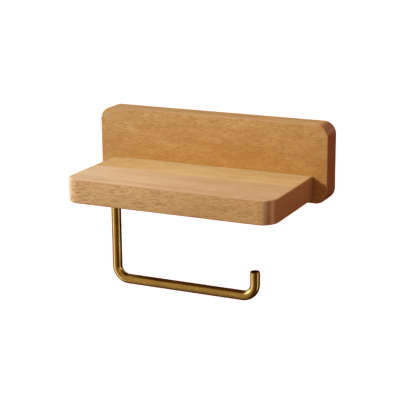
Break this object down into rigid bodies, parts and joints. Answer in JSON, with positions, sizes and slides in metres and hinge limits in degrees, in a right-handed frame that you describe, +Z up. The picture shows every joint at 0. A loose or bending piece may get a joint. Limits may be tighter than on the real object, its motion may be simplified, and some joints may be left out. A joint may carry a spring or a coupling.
{
  "type": "toilet paper holder",
  "caption": "Wall-hung beech back plate and shelf with a bent brass rod below that carries a toilet roll, is open at its turned-up tip and swings forward on its leg.",
  "frame": {"origin": "centre of the back plate's rear face, which lies flat on the wall", "axes": "+Y into the wall, +Z up, +X along the wall to the right as the user faces it; the shelf and the rod are at negative Y"},
  "size_m": [0.2, 0.1023, 0.137],
  "materials": {
    "beech": "sanded beech with a thin matt oil, grain along the wall",
    "dowel_beech": "raw turned beech",
    "satin_brass": "satin brass, slightly aged",
    "insert_brass": "bright turned brass",
    "zinc_steel": "zinc-plated steel"
  },
  "bodies": {
    "holder": {"back_plate": "beech", "shelf": "beech", "threaded_insert": "insert_brass", "dowel_left": "dowel_beech", "dowel_right": "dowel_beech", "shelf_screw_left": "zinc_steel", "shelf_screw_right": "zinc_steel", "hanger_left": "zinc_steel", "hanger_right": "zinc_steel", "hanger_screw_left_upper": "zinc_steel", "hanger_screw_left_lower": "zinc_steel", "hanger_screw_right_upper": "zinc_steel", "hanger_screw_right_lower": "zinc_steel"},
    "rod_arm": {"roll_rod": "satin_brass"}
  },
  "joints": [
    {"name": "rod_swivel", "type": "hinge", "parent": "holder", "child": "rod_arm", "pos_m": [-0.067, -0.056, -0.0285], "axis": [0, 0, 1], "range_deg": [-90, 0]}
  ]
}
